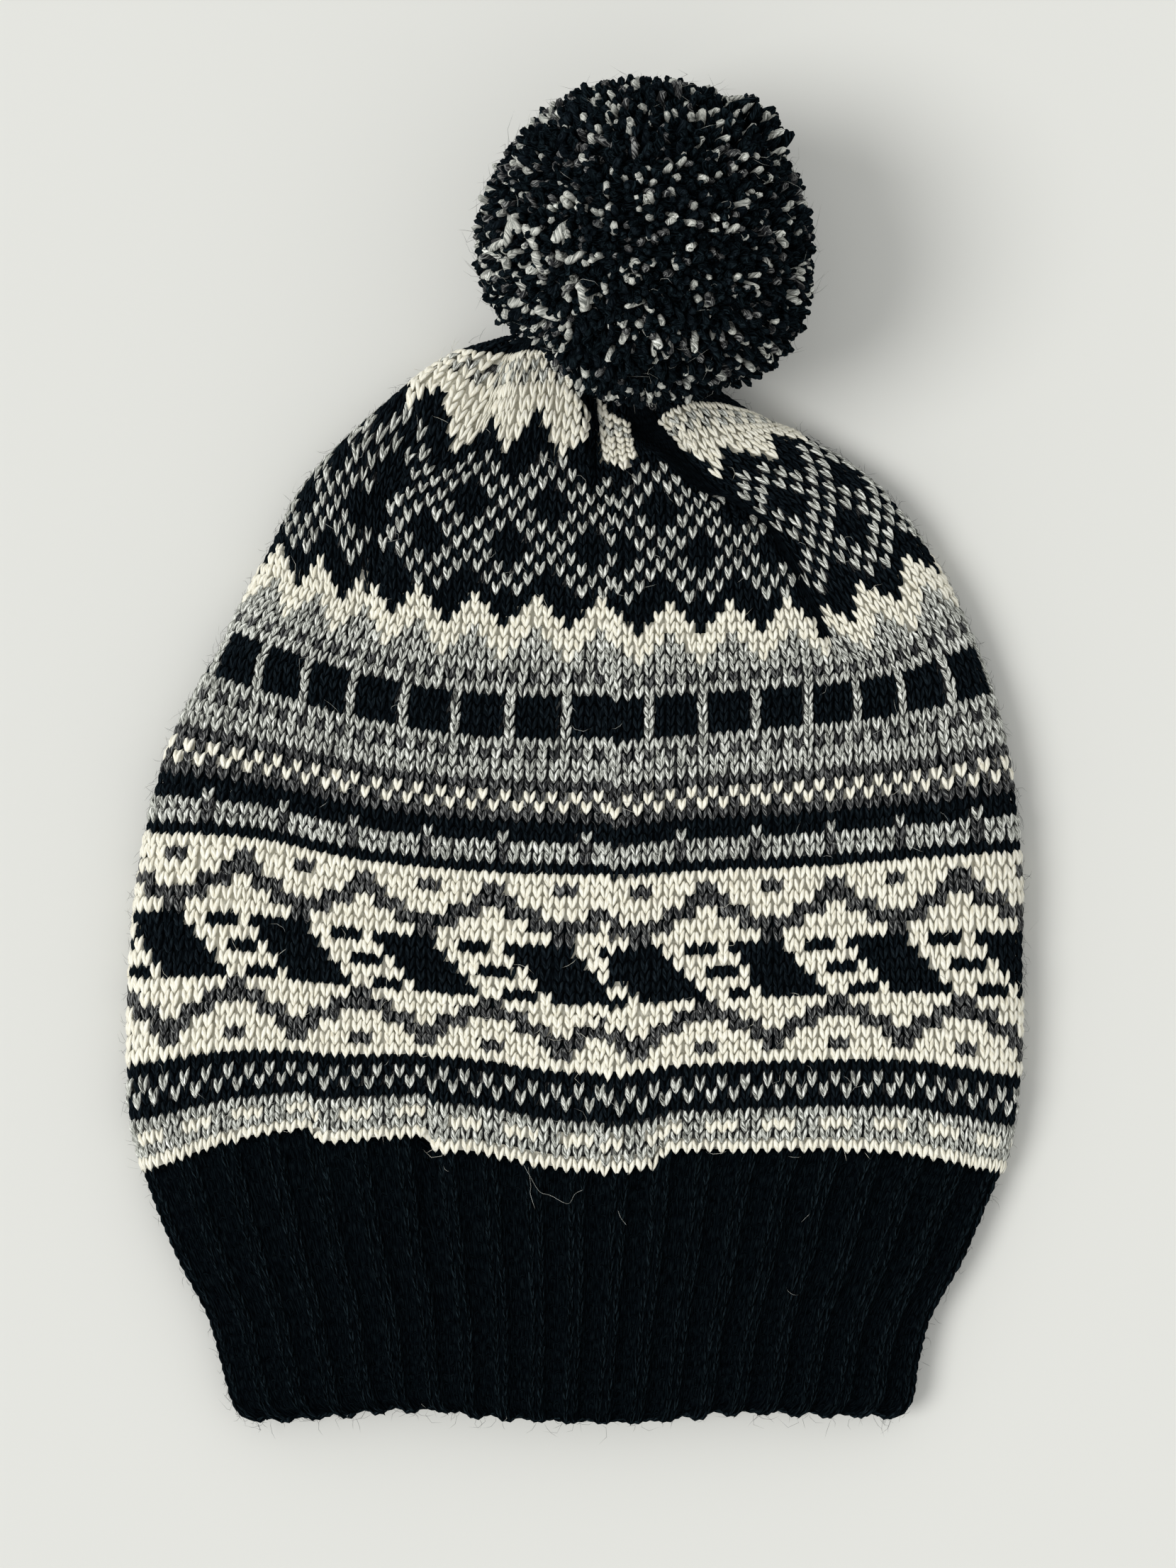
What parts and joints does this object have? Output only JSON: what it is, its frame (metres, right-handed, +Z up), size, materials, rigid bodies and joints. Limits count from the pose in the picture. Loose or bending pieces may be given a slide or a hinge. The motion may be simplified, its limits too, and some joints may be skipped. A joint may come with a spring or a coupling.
{
  "type": "knitted wool hat with pompom",
  "caption": "Knitted wool hat lying flat: patterned crown gathered at the top, black ribbed band with an open mouth, and a speckled yarn pompom.",
  "frame": {"origin": "middle of the base of the lying hat's bounding box, on the surface it rests on", "axes": "+X to the right of the hat as it lies, +Y from the band to the pompom, +Z up from the surface"},
  "size_m": [0.2378, 0.3494, 0.0852],
  "materials": {
    "pattern_wool": "colourwork stocking stitch in cream, grey, charcoal and black alpaca wool",
    "black_wool": "black alpaca wool in two-by-two rib",
    "pompom_wool": "cut yarn ends, black with cream and grey"
  },
  "bodies": {
    "root": {"crown": "pattern_wool", "band": "black_wool", "pompom": "pompom_wool"}
  },
  "joints": []
}
